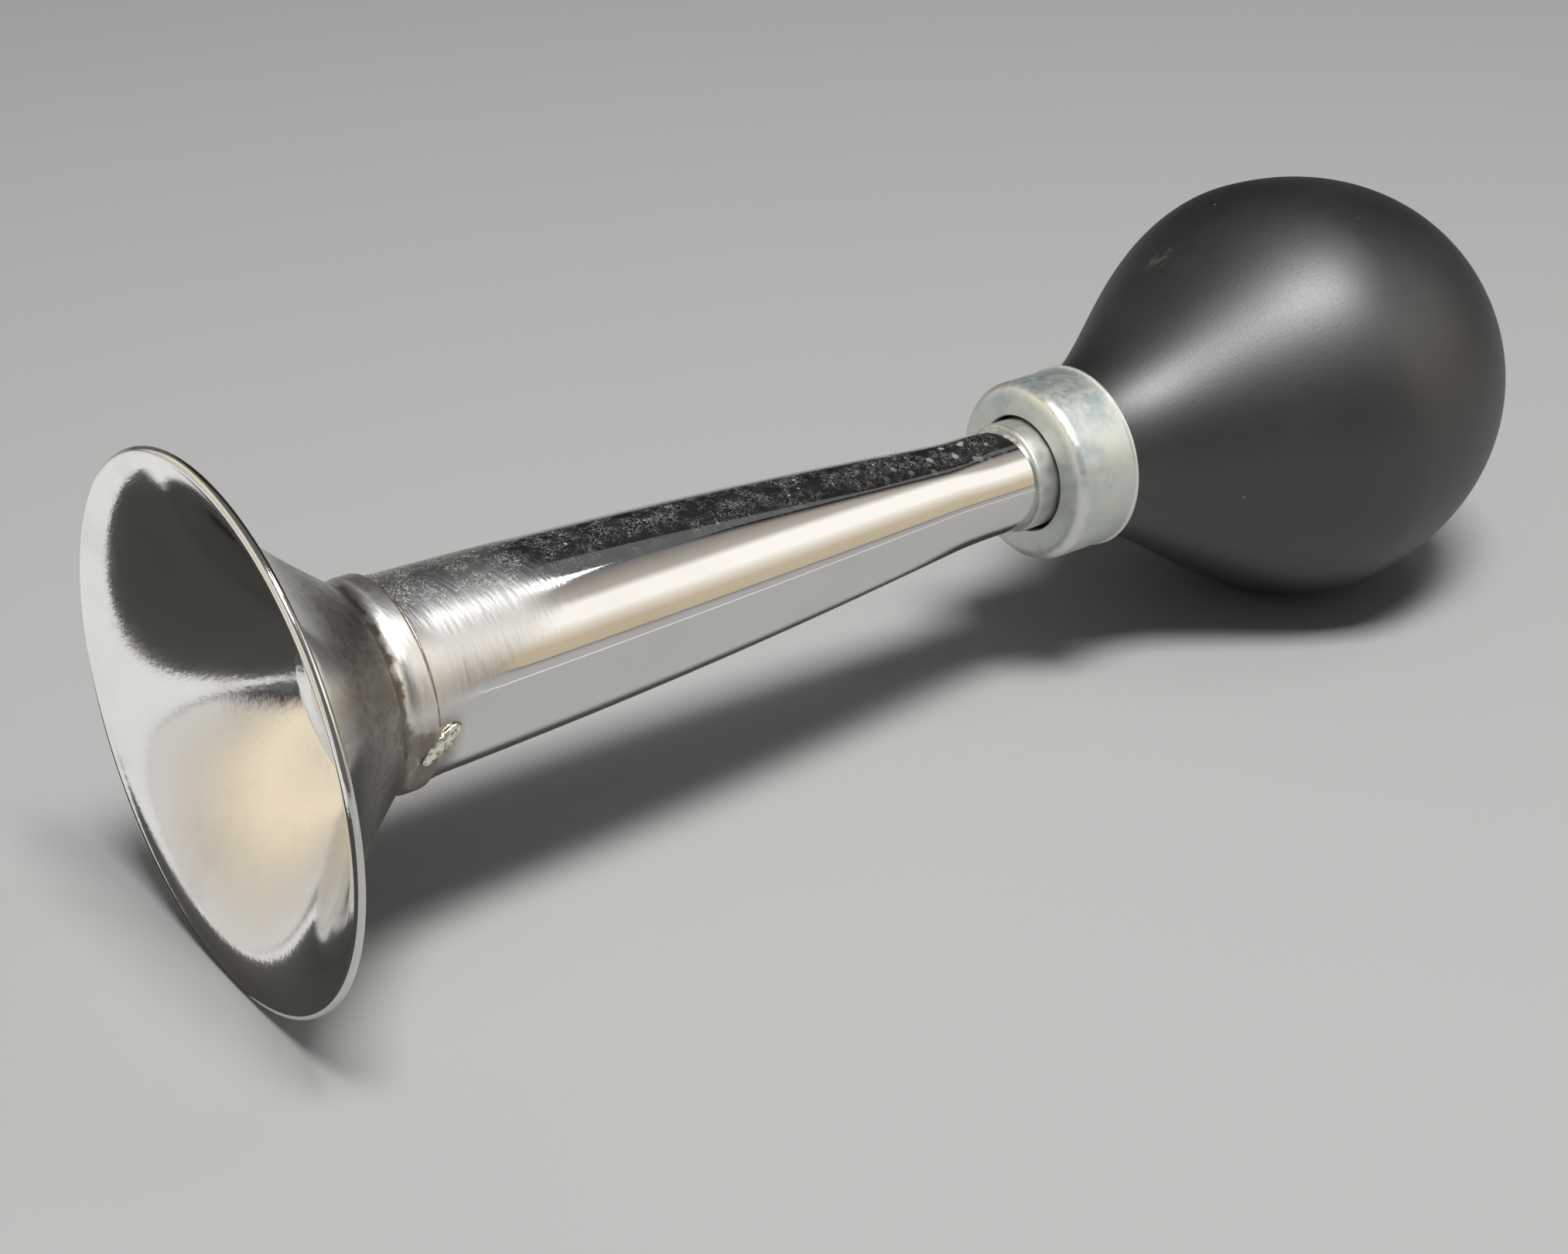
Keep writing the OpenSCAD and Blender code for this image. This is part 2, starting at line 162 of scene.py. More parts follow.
def inset(outline, wall):
    """The outline moved towards the axis, or towards the mouth on a flare."""
    out = []
    for i, point in enumerate(outline):
        a = Vector(outline[max(i - 1, 0)])
        b = Vector(outline[min(i + 1, len(outline) - 1)])
        along = (b - a).normalized()
        out.append(tuple(Vector(point) + wall * Vector((along.y, -along.x))))
    return out


def bell_outline():
    """A flare with a rolled rim, folded in to the spigot that enters the tube."""
    bead = (RIM_R, MOUTH_R - RIM_R)
    flare = bezier([bead, FLARE_PULL, FLARE_END], FLARE_STEPS)
    fold = softened(flare[-2], FLARE_END, (FOLD_END, SPIGOT_R), FOLD_TRIM)
    root = softened(FLARE_END, (FOLD_END, SPIGOT_R), (SPIGOT_END, SPIGOT_R), ROOT_TRIM)
    outside = flare[2:-1] + fold + root + [(SPIGOT_END, SPIGOT_R)]
    inside = inset(outside, BELL_WALL)
    inside[0] = inset(flare, BELL_WALL)[1]
    roll = arc(bead, RIM_R, ROLL_START, ROLL_END, ROLL_STEPS)
    return outside + inside[::-1] + roll


def band_outline():
    """A ferrule, rounded fully in front and a little behind."""
    front_centre = (BAND_FRONT + BAND_ROUND, BAND_R - BAND_ROUND)
    front = arc(front_centre, BAND_ROUND, -90, 0, ROUND_STEPS)
    rear_centre = (BAND_REAR - BAND_REAR_ROUND, BAND_R - BAND_REAR_ROUND)
    rear = arc(rear_centre, BAND_REAR_ROUND, 0, 90, SMALL_ROUND_STEPS)
    return [(BAND_REAR, BAND_HOLE_R), (BAND_FRONT, BAND_HOLE_R)] + front + rear


def fillet_outline():
    """Filed solder that fills the groove between flare and band."""
    return bezier([FILLET_FRONT, *FILLET_PULLS, FILLET_REAR], FILLET_STEPS) + [FILLET_ROOT]


def seam_outline():
    """A thin bead of solder behind the band."""
    return arc((SEAM_AT, SEAM_SEAT_R), SEAM_BEAD_R, 0, 360 - 360 / (SEAM_STEPS + 1), SEAM_STEPS)


def tube_outline():
    """A raised lip in front, a taper that bows out a little, and a straight end."""
    lip = []
    for i in range(LIP_STEPS):
        t = i / LIP_STEPS
        lip.append((BAND_REAR + LIP_LENGTH * t, TAPER_FRONT_R + LIP_RISE * (1 - t) ** 2))
    taper = []
    for i in range(TAPER_STEPS + 1):
        t = i / TAPER_STEPS
        bow = 4 * TAPER_BOW * t * (1 - t)
        taper.append((TAPER_START + (TAPER_END - TAPER_START) * t,
                      TAPER_FRONT_R + (TAPER_END_R - TAPER_FRONT_R) * t + bow))
    end = (TUBE_END, TAPER_END_R)
    bend = softened(taper[-BEND_STEPS], (TAPER_END, TAPER_END_R), end, TUBE_BEND_TRIM)
    outside = lip + taper[:-BEND_STEPS] + bend + [end]
    return outside + [(s, r - TUBE_WALL) for s, r in outside[::-1]]


def socket_outline():
    """A sleeve in the tube, a rounded shoulder, and the thread's core with the reed block's seat."""
    shoulder_centre = (TUBE_END + SHOULDER_ROUND, SHOULDER_R - SHOULDER_ROUND)
    shoulder = arc(shoulder_centre, SHOULDER_ROUND, -90, 0, SMALL_ROUND_STEPS)
    return ([(SLEEVE_FRONT, SOCKET_BORE_R), (SLEEVE_FRONT, SLEEVE_R), (TUBE_END, SLEEVE_R)] + shoulder
            + [(SHOULDER_REAR, SHOULDER_R), (SHOULDER_REAR, THREAD_ROOT_R), (THREAD_END, THREAD_ROOT_R),
               (THREAD_END, BLOCK_HOLE_R), (BLOCK_FRONT, BLOCK_HOLE_R), (BLOCK_FRONT, SOCKET_BORE_R)])


def collar_outline():
    """A cup with a round hole in its face, a rounded front edge and a thin lip behind."""
    edge_centre = (COLLAR_FACE + COLLAR_ROUND, COLLAR_R - COLLAR_ROUND)
    edge = arc(edge_centre, COLLAR_ROUND, -90, 0, ROUND_STEPS)
    hole_rear = (COLLAR_INNER_FACE, COLLAR_HOLE_R)
    hole = [(COLLAR_REAR, COLLAR_BORE_R), (COLLAR_INNER_FACE, COLLAR_BORE_R), hole_rear]
    hole += softened(hole_rear, (COLLAR_FACE, COLLAR_HOLE_R), edge[0], COLLAR_LIP)
    lip_r = COLLAR_R + COLLAR_LIP
    lip = [(COLLAR_REAR - 2 * COLLAR_LIP, COLLAR_R), (COLLAR_REAR - COLLAR_LIP, lip_r), (COLLAR_REAR, lip_r)]
    return hole + edge + lip


def bulb_profile():
    """The pear's wall from the axis inside, round the bush in its neck, to the axis outside."""
    front = bezier([(COLLAR_REAR, NECK_OUT_R), (COLLAR_REAR + NECK_REACH, NECK_OUT_R + NECK_SPREAD),
                    (BELLY_AT - BELLY_REACH, BELLY_R), (BELLY_AT, BELLY_R)], BULB_FRONT_STEPS)
    rear_length = BULB_END - BELLY_AT
    rear = bezier([(BELLY_AT, BELLY_R), (BELLY_AT + REAR_FULLNESS * rear_length, BELLY_R),
                   (BULB_END, BELLY_R * REAR_FULLNESS), (BULB_END, 0)], BULB_REAR_STEPS)
    outside = front + rear[1:]
    inside = [(s, max(r, 0)) for s, r in inset(outside, BULB_WALL) if s > BUSH_REAR]
    inside[-1] = (inside[-1][0], 0)
    neck = [(BUSH_REAR, inside[0][1]), (BUSH_REAR, FLANGE_R), (FLANGE_FRONT, FLANGE_R),
            (FLANGE_FRONT, BUSH_R), (BUSH_FRONT, BUSH_R), (BUSH_FRONT, COLLAR_HOLE_R),
            (COLLAR_INNER_FACE, COLLAR_HOLE_R), (COLLAR_INNER_FACE, NECK_R), (COLLAR_REAR, NECK_R)]
    return inside[::-1] + neck + outside


def profile_edges(bm, outline, closed):
    """An outline as vertices and edges in the plane above the axis."""
    verts = [bm.verts.new((station, 0, radius)) for station, radius in outline]
    pairs = list(zip(verts, verts[1:]))
    if closed:
        pairs.append((verts[-1], verts[0]))
    for a, b in pairs:
        bm.edges.new((a, b))


def spin(bm, geom, angle, steps, advance=0, merge=False):
    """Spins geometry round the axis; each step also moves it along by the advance."""
    bmesh.ops.spin(bm, geom=geom, cent=(0, 0, 0), axis=(1, 0, 0), dvec=(advance, 0, 0),
                   angle=angle, steps=steps, use_merge=merge)


def turned(outline):
    """A closed outline spun once round the horn's axis."""
    bm = bmesh.new()
    profile_edges(bm, outline, closed=True)
    spin(bm, bm.verts[:] + bm.edges[:], 2 * math.pi, TURNED_STEPS, merge=True)
    return bm


def half_turned(outline, start):
    """An outline from axis to axis spun half round from a start angle, its cut faces filled."""
    bm = bmesh.new()
    profile_edges(bm, outline, closed=False)
    bmesh.ops.rotate(bm, verts=bm.verts, matrix=Matrix.Rotation(start, 3, "X"))
    spin(bm, bm.verts[:] + bm.edges[:], math.pi, TURNED_STEPS // 2)
    bmesh.ops.remove_doubles(bm, verts=bm.verts, dist=TOUCHING)
    open_edges = [edge for edge in bm.edges if edge.is_boundary]
    bmesh.ops.triangle_fill(bm, use_beauty=True, edges=open_edges)
    return bm


def thread():
    """The socket's ridge, spun forward along the axis one pitch a turn, its two ends closed."""
    root = THREAD_ROOT_R - THREAD_SINK
    half_root = THREAD_PITCH / 2 - THREAD_SINK
    start = SHOULDER_REAR + THREAD_RUNOUT
    section = [(start - half_root, root), (start - THREAD_CREST / 2, THREAD_R),
               (start + THREAD_CREST / 2, THREAD_R), (start + half_root, root)]
    turns = (THREAD_END - THREAD_RUNOUT - start) / THREAD_PITCH
    steps = round(turns * THREAD_STEPS)
    bm = bmesh.new()
    profile_edges(bm, section, closed=True)
    bmesh.ops.contextual_create(bm, geom=bm.edges[:])
    spin(bm, bm.faces[:], 2 * math.pi * turns, steps, advance=THREAD_PITCH * turns / steps)
    return bm


def solder_lump():
    """A crumpled smear of solder across the seam, low on the side."""
    bm = bmesh.new()
    bmesh.ops.create_icosphere(bm, subdivisions=5, radius=1)
    bmesh.ops.scale(bm, verts=bm.verts, vec=LUMP_SIZE)
    for vert in bm.verts:
        crease = noise.fractal(vert.co / LUMP_CREASE, CREASE_FALL, CREASE_STEP, CREASE_LAYERS)
        vert.co += vert.co.normalized() * LUMP_ROUGH * crease
    place = (Matrix.Rotation(LUMP_TURN, 4, "X") @ Matrix.Translation((LUMP_AT, 0, LUMP_SEAT_R))
             @ Matrix.Rotation(LUMP_PITCH, 4, "Y") @ Matrix.Rotation(LUMP_SLANT, 4, "Z"))
    bmesh.ops.transform(bm, matrix=place, verts=bm.verts)
    return bm


def new_object(name, bm, material):
    """A bmesh as an object of the scene, with one material."""
    mesh = bpy.data.meshes.new(name)
    bm.to_mesh(mesh)
    bm.free()
    mesh.materials.append(material)
    obj = bpy.data.objects.new(name, mesh)
    bpy.context.scene.collection.objects.link(obj)
    return obj


def piece(name, bm, slot, finish, *replaced):
    """A piece of the horn: laid down with the horn, kept above the floor, shaded and given its finish; the
    slot argument is not used.
    """
    bmesh.ops.transform(bm, matrix=LYING, verts=bm.verts)
    for vert in bm.verts:
        vert.co.z = max(vert.co.z, 0)
    bmesh.ops.recalc_face_normals(bm, faces=bm.faces)
    obj = new_object(name, bm, finish)
    obj.data.shade_smooth()
    obj.data.set_sharp_from_angle(angle=SHARP)
    if replaced:
        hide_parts(*replaced)
    return obj


def carry_shading_over_seam(mesh):
    """At the bulb's cut the shading lies in the cut's plane, so that its two halves read as one."""
    normals = [corner.vector.copy() for corner in mesh.corner_normals]
    for polygon in mesh.polygons:
        if abs(polygon.normal.y) > CUT_FACE:
            continue
        for loop in polygon.loop_indices:
            if abs(mesh.vertices[mesh.loops[loop].vertex_index].co.y) < TOUCHING:
                normals[loop].y = 0
                normals[loop].normalize()
    mesh.normals_split_custom_set(normals)


class Shading:
    """A material and short ways to add nodes to it."""

    def __init__(self, name):
        self.material = bpy.data.materials.new(name)
        self.material.use_nodes = True
        self.tree = self.material.node_tree
        self.shader = self.tree.nodes["Principled BSDF"]

    def put(self, socket, value):
        """Links a socket to another one, or sets its value."""
        if isinstance(value, bpy.types.NodeSocket):
            self.tree.links.new(value, socket)
        elif isinstance(value, tuple) and socket.type == "RGBA":
            socket.default_value = (*value, 1)
        else:
            socket.default_value = value

    def set(self, **values):
        """Sets the shader's sockets; a name's underscores stand for spaces."""
        for key, value in values.items():
            self.put(self.shader.inputs[key.replace("_", " ")], value)

    def node(self, kind, inputs=None, **settings):
        made = self.tree.nodes.new(kind)
        for key, value in settings.items():
            setattr(made, key, value)
        for key, value in (inputs or {}).items():
            self.put(made.inputs[key], value)
        return made

    def math(self, operation, a, b=0.0):
        return self.node("ShaderNodeMath", {0: a, 1: b}, operation=operation).outputs[0]

    def rise(self, value, low, high, to_low=0.0, to_high=1.0):
        """A soft step from one value to another; falls where low is above high."""
        inputs = {"Value": value, "From Min": low, "From Max": high, "To Min": to_low, "To Max": to_high}
        return self.node("ShaderNodeMapRange", inputs, interpolation_type="SMOOTHSTEP").outputs[0]


class Finish(Shading):
    """A finish of the horn; places on it are measured along and round the horn, in millimetres."""

    def __init__(self, name, metallic, specular=0.5):
        super().__init__(name)
        self.set(Metallic=metallic, Specular_IOR_Level=specular)
        where = self.node("ShaderNodeTexCoord").outputs["Object"]
        horn_frame = {"Vector": where, "Location": MOUTH, "Rotation": (0, TILT, 0), "Scale": (MM, MM, MM)}
        self.place = self.node("ShaderNodeMapping", horn_frame, vector_type="TEXTURE").outputs[0]
        split = self.node("ShaderNodeSeparateXYZ", {"Vector": self.place})
        self.station, self.side, self.height = split.outputs
        radial = self.vector("MULTIPLY", self.place, (0, 1, 1))
        self.radius = self.measure("LENGTH", radial)
        self.around = self.vector("NORMALIZE", radial)

    def vector(self, operation, a, b=(0, 0, 0)):
        return self.node("ShaderNodeVectorMath", {0: a, 1: b}, operation=operation).outputs[0]

    def measure(self, operation, a, b=(0, 0, 0)):
        """A number got from vectors, such as a length, distance or dot product."""
        return self.node("ShaderNodeVectorMath", {0: a, 1: b}, operation=operation).outputs["Value"]

    def facing(self, direction):
        """1 where the surface faces a direction, 0 where it is edge on, below 0 where it faces away."""
        return self.measure("DOT_PRODUCT", self.node("ShaderNodeNewGeometry").outputs["Normal"], direction)

    def noise(self, where, detail, rough=0.5, distortion=0.0):
        """Noise of one patch per unit of the given place."""
        inputs = {"Vector": where, "Scale": 1.0, "Detail": detail}
        inputs.update({"Roughness": rough, "Distortion": distortion})
        return self.node("ShaderNodeTexNoise", inputs).outputs[0]

    def cloud(self, size, detail=3.0, distortion=0.0, where=None, stretch=(1, 1, 1)):
        """Noise whose patches are about one size."""
        spot = self.vector("MULTIPLY", where or self.place, tuple(s / size for s in stretch))
        return self.noise(spot, detail, 0.55, distortion)

    def rings(self, pitch, wander, detail=2.0, along=None):
        """Noise drawn out into lines round the axis, that wander a little."""
        step = self.node("ShaderNodeCombineXYZ", {0: self.times(along or self.station, 1 / pitch)}).outputs[0]
        turn_part = self.vector("MULTIPLY", self.around, (0, wander, wander))
        return self.noise(self.vector("ADD", step, turn_part), detail)

    def streaks(self, width, length):
        """Noise drawn out into streaks along the axis."""
        return self.noise(self.vector("MULTIPLY", self.place, (1 / length, 1 / width, 1 / width)), 3.0)

    def cells(self, spacing):
        """The distance from the middle of the nearest of many scattered cells, in spacings."""
        spot = self.vector("MULTIPLY", self.place, (1 / spacing,) * 3)
        return self.node("ShaderNodeTexVoronoi", {"Vector": spot, "Scale": 1.0}).outputs["Distance"]

    def specks(self, spacing, size):
        """Small round spots, 1 inside and 0 outside, about one per spacing."""
        return self.rise(self.cells(spacing), size / spacing, 0.5 * size / spacing)

    def blend(self, factor, a, b):
        """One colour, passing to another as the factor goes from 0 to 1."""
        return self.node("ShaderNodeMix", {0: factor, 6: a, 7: b}, data_type="RGBA").outputs[2]

    def times(self, *values):
        out = values[0]
        for value in values[1:]:
            out = self.math("MULTIPLY", out, value)
        return out

    def plus(self, *values):
        out = values[0]
        for value in values[1:]:
            out = self.math("ADD", out, value)
        return out

    def relief(self, *layers):
        """Bumps of the given (height, depth in millimetres), one over another."""
        normal = None
        for height, depth in layers:
            bump = self.node("ShaderNodeBump", {"Height": height, "Distance": depth * MM, "Strength": 1.0})
            if normal:
                self.put(bump.inputs["Normal"], normal)
            normal = bump.outputs[0]
        self.set(Normal=normal)

    def finish(self, colour, roughness):
        self.set(Base_Color=colour, Roughness=roughness)
        return self.material


# Colours of the finishes
CHROME, CHROME_CLOUDED, BAND_BRIGHT = (0.72, 0.715, 0.70), (0.62, 0.60, 0.57), (0.78, 0.765, 0.73)
DULLED, STAINED, DUST = (0.23, 0.205, 0.175), (0.21, 0.185, 0.155), (0.50, 0.49, 0.47)
# The last solder colour is painted crease shade on the lump.
SOLDER_FILED, SOLDER_BRIGHT, SOLDER_CREASE_SHADE = (0.74, 0.72, 0.68), (0.90, 0.89, 0.80), (0.36, 0.32, 0.21)
FLUX_BROWN, FLUX_PALE = (0.34, 0.27, 0.18), (0.55, 0.48, 0.38)
ZINC, ZINC_BLUE, ZINC_YELLOW = (0.66, 0.70, 0.66), (0.44, 0.52, 0.55), (0.75, 0.755, 0.63)
# The last zinc colour lightens the collar's edges: partly edge wear, partly painted highlight.
ZINC_MOTTLED, ZINC_WEAR_AND_HIGHLIGHT = (0.80, 0.83, 0.80), (0.88, 0.87, 0.81)
RUBBER, RUBBER_BLOOM, RUBBER_MARKED = (0.005, 0.005, 0.0053), (0.012, 0.011, 0.010), (0.24, 0.225, 0.20)
LEATHER_PALE, LEATHER_OILED = (0.16, 0.085, 0.04), (0.075, 0.04, 0.022)
RUBBER_IOR = 1.55

# Places and sizes on the finishes, in millimetres; the zinc's second cloud is read elsewhere than its first
RIM, COLLAR_FRONT_AT, COLLAR_SIDE = MOUTH_R / MM, COLLAR_FACE / MM, COLLAR_R / MM
SCUFF_AT = (182.0, 10.2, 25.5)
ELSEWHERE = (31, 17, 5)
PEBBLES_PER_MM = 1.8


def dull_throat(f):
    """How far the flare has dulled outside, 0 to 1: streaked, and most at the throat."""
    patches = f.rise(f.cloud(6.0, detail=4.0), 0.28, 0.70)
    streaks = f.rise(f.streaks(1.1, 7.0), 0.38, 0.64)
    mottle = f.plus(0.62, f.times(patches, 0.2), f.times(streaks, 0.18))
    return f.times(f.rise(f.radius, 33.0, 22.0), mottle)


def solder_stain(f):
    """A brown stain round the solder, low on the near side of the joint, 0 to 1."""
    low = f.rise(f.height, 2.5, -0.8)
    near = f.rise(f.side, -2.0, -8.0)
    along = f.rise(f.station, 31.5, 27.5)
    return f.times(low, near, along, f.rise(f.cloud(2.4, detail=4.0), 0.15, 0.5))


def polishing_lines(f):
    """Slanted, wandering ridges left by hand polishing at the joint, about a millimetre apart."""
    slanted = f.plus(f.station, f.times(f.side, 0.45), f.times(f.height, -0.3))
    return f.rings(0.85, 3.5, detail=1.0, along=slanted)


def bell_chrome():
    """Polished inside and along the rim, dulled and streaked outside towards the throat."""
    f = Finish("bell_chrome", 1)
    outside = f.rise(f.facing(tuple(AXIS)), 0.0, 0.15)
    dull = f.times(outside, dull_throat(f))
    down_flare = f.math("SUBTRACT", f.station, f.radius)
    smudge = f.rise(f.cloud(11.0, detail=4.0), 0.46, 0.72)
    hairlines = f.rise(f.rings(0.22, 2.0, along=down_flare), 0.60, 0.72)
    colour = f.blend(f.times(smudge, 0.5), CHROME, CHROME_CLOUDED)
    colour = f.blend(dull, colour, DULLED)
    hem = f.rise(f.radius, RIM - 1.4, RIM - 0.8)
    polished = f.plus(0.10, f.times(smudge, 0.05), f.times(hairlines, 0.05), f.times(hem, -0.03))
    rough = f.plus(polished, f.times(dull, 0.19))
    inner_throat = f.times(f.rise(f.radius, 26.0, 15.0), f.math("SUBTRACT", 1.0, outside))
    ripple = f.times(f.cloud(3.2, detail=2.0), f.plus(0.12, inner_throat))
    tool_marks = f.rings(0.4, 24.0, along=down_flare)
    f.relief((f.cloud(16.0, detail=1.0), 0.05), (ripple, 0.035), (f.cloud(0.8, detail=2.0), 0.010),
             (tool_marks, 0.005))
    return f.finish(colour, rough)


def band_chrome():
    """Bright, with fine ridges left by hand polishing, stained where the solder ran."""
    f = Finish("band_chrome", 1)
    wear = f.rise(f.cloud(4.0), 0.45, 0.7)
    stain = solder_stain(f)
    colour = f.blend(f.times(wear, 0.5), BAND_BRIGHT, CHROME_CLOUDED)
    colour = f.blend(f.times(stain, 0.95), colour, STAINED)
    rough = f.plus(0.36, f.times(wear, 0.08), f.times(stain, 0.06))
    f.relief((f.cloud(5.0, detail=2.0), 0.03), (polishing_lines(f), 0.05), (f.streaks(0.5, 3.0), 0.003))
    return f.finish(colour, rough)


def tube_dust(f, upward):
    """Curled fibres and specks of dust on what faces up, 0 to 1, thickest at the neck."""
    near_neck = f.rise(f.station, 100.0, 136.0)
    wander = f.cloud(1.3, detail=1.0, distortion=2.2)
    curls = f.rise(f.math("ABSOLUTE", f.math("SUBTRACT", wander, 0.5)), 0.05, 0.012)
    scattered = f.rise(f.cloud(3.2), 0.36, 0.62)
    spots = f.plus(f.specks(3.4, 0.34), f.times(near_neck, f.specks(2.3, 0.74)))
    dust = f.times(upward, f.plus(f.times(curls, scattered, 0.55), f.times(spots, 0.9)))
    return f.math("MINIMUM", dust, 1.0)


def tube_chrome():
    """Mirror bright, with polishing ridges near the band and dust and specks along the top."""
    f = Finish("tube_chrome", 1)
    reach = f.plus(35.0, f.times(f.rise(f.height, 1.0, 9.0), 20.0))
    near_band = f.rise(f.math("SUBTRACT", reach, f.station), 0.0, 13.0)
    upward = f.rise(f.facing((0, 0.30, 0.95)), 0.55, 0.95)
    smudge = f.rise(f.cloud(14.0, detail=4.0, stretch=(0.6, 1, 1)), 0.48, 0.75)
    dust = tube_dust(f, upward)
    haze = f.times(upward, f.rise(f.cloud(9.0, detail=4.0), 0.35, 0.8))
    stain = solder_stain(f)
    colour = f.blend(f.times(smudge, 0.4), CHROME, CHROME_CLOUDED)
    colour = f.blend(f.times(stain, 0.8), colour, STAINED)
    colour = f.blend(f.times(dust, 0.8), colour, DUST)
    rough = f.plus(0.035, f.times(smudge, 0.04), f.times(haze, 0.06), f.times(dust, 0.40),
                   f.times(near_band, 0.30), f.times(stain, 0.08))
    f.set(Metallic=f.math("SUBTRACT", 1.0, f.times(dust, 0.7)))
    waves = f.cloud(12.0, detail=1.0, stretch=(0.4, 1, 1))
    ridges = f.times(polishing_lines(f), near_band)
    f.relief((waves, 0.022), (ridges, 0.07), (f.cloud(1.0, detail=2.0), 0.0008))
    return f.finish(colour, rough)


def fillet_finish():
    """Filed solder: bright beside the band, dulled in patches, stained low on the near side."""
    f = Finish("solder_fillet", 1)
    patches = f.rise(f.plus(f.cloud(2.2, detail=4.0), f.times(f.station, 0.2), -4.35), 0.40, 0.62)
    colour = f.blend(patches, DULLED, SOLDER_FILED)
    colour = f.blend(f.times(solder_stain(f), 0.9), colour, STAINED)
    f.relief((f.cloud(1.3), 0.05), (polishing_lines(f), 0.05))
    return f.finish(colour, f.plus(0.36, f.times(patches, -0.02)))


def solder_seam_finish():
    """A thin browned line of old solder and flux."""
    f = Finish("solder_seam", 1)
    stain = f.rise(f.cloud(2.2), 0.38, 0.66)
    f.relief((f.cloud(0.6), 0.05))
    return f.finish(f.blend(stain, FLUX_BROWN, FLUX_PALE), f.plus(0.32, f.times(stain, 0.15)))


def solder_lump_finish():
    """Bright crumpled solder, with darker yellowish patches of painted crease shade."""
    f = Finish("solder_lump", 1)
    bright = f.rise(f.cloud(0.9), 0.40, 0.56)
    f.relief((f.cloud(0.8), 0.16), (f.cloud(0.3, detail=2.0), 0.03))
    # The darker patches are painted crease shade; they follow noise, not the lump's real creases.
    return f.finish(f.blend(bright, SOLDER_CREASE_SHADE, SOLDER_BRIGHT), f.plus(0.22, f.times(bright, 0.08)))


def satin_steel(name, pale, dark):
    """Turned steel, satin, with faint rings and grey blotches."""
    f = Finish(name, 1)
    blotch = f.rise(f.cloud(3.5, detail=4.0), 0.36, 0.66)
    lines = f.rings(0.3, 1.5)
    f.relief((lines, 0.004), (f.cloud(0.5, detail=2.0), 0.004))
    return f.finish(f.blend(blotch, dark, pale), f.plus(0.44, f.times(blotch, 0.1), f.times(lines, 0.08)))


def collar_zinc():
    """Zinc plate: pale grey-green, clouded blue and yellow, lighter along its edges as edge wear and painted
    highlight.
    """
    f = Finish("collar_zinc", 0.82)
    upper = f.rise(f.height, -2.0, 9.0, 0.35, 1.0)
    blue = f.times(upper, f.rise(f.cloud(7.5), 0.42, 0.66))
    yellow = f.rise(f.cloud(8.0, where=f.vector("ADD", f.place, ELSEWHERE)), 0.50, 0.72)
    mottle = f.rise(f.cloud(1.4, detail=4.0), 0.35, 0.68)
    past_face = f.rise(f.station, COLLAR_FRONT_AT + 0.07, COLLAR_FRONT_AT + 0.47)
    before_side = f.rise(f.station, COLLAR_FRONT_AT + 1.97, COLLAR_FRONT_AT + 0.97)
    front_edge = f.times(past_face, before_side)
    rear_edge = f.rise(f.radius, COLLAR_SIDE + 0.05, COLLAR_SIDE + 0.19)
    colour = f.blend(f.times(blue, 0.85), ZINC, ZINC_BLUE)
    colour = f.blend(f.times(yellow, 0.55), colour, ZINC_YELLOW)
    colour = f.blend(f.times(mottle, 0.32), colour, ZINC_MOTTLED)
    # The front and rear edges are lightened: partly edge wear, partly painted highlight lines.
    colour = f.blend(f.plus(f.times(front_edge, 0.4), f.times(rear_edge, 0.7)), colour, ZINC_WEAR_AND_HIGHLIGHT)
    rough = f.plus(0.40, f.times(mottle, 0.10), f.times(blue, 0.06), f.times(front_edge, -0.08))
    pits = f.specks(2.6, 0.22)
    f.relief((f.cloud(4.5, detail=2.0), 0.05), (f.cloud(0.8), 0.012), (pits, -0.02))
    return f.finish(colour, rough)


def bulb_rubber():
    """Satin black rubber with a fine skin, faint bloom, a scuff and a few pale specks."""
    f = Finish("bulb_rubber", 0, specular=1.0)
    f.set(IOR=RUBBER_IOR)
    bloom = f.rise(f.cloud(15.0, detail=4.0), 0.42, 0.74)
    grain = f.cloud(0.55)
    near_scuff = f.rise(f.measure("DISTANCE", f.place, SCUFF_AT), 3.6, 0.8)
    scuff = f.times(near_scuff, f.rise(f.cloud(1.6, detail=4.0), 0.38, 0.62))
    marks = f.math("MAXIMUM", f.times(f.specks(9.0, 0.30), 0.8), f.times(scuff, 0.2))
    colour = f.blend(f.times(bloom, 0.6), RUBBER, RUBBER_BLOOM)
    colour = f.blend(marks, colour, RUBBER_MARKED)
    rough = f.plus(0.435, f.times(bloom, 0.03), f.times(grain, 0.06))
    f.relief((f.cloud(22.0, detail=1.0), 0.10), (grain, 0.016))
    return f.finish(colour, rough)


def brass(name, bright, aged, least_rough):
    """Drawn brass, darkened in patches, with fine tool lines."""
    f = Finish(name, 1)
    patina = f.rise(f.cloud(2.6, detail=4.0), 0.38, 0.68)
    lines = f.cloud(0.25, detail=2.0, stretch=(0.12, 1, 1))
    rough = f.plus(least_rough, f.times(patina, 0.16), f.times(lines, 0.06))
    f.relief((lines, 0.004))
    return f.finish(f.blend(patina, bright, aged), rough)


def leather():
    """Oiled washer leather with a pebbled grain."""
    f = Finish("washer_leather", 0, specular=0.35)
    pebbles = f.cells(1 / PEBBLES_PER_MM)
    oiled = f.rise(f.cloud(2.4, detail=4.0), 0.38, 0.66)
    f.relief((pebbles, 0.08), (f.cloud(0.2, detail=2.0), 0.02))
    return f.finish(f.blend(oiled, LEATHER_PALE, LEATHER_OILED), f.plus(0.55, f.times(pebbles, 0.2)))


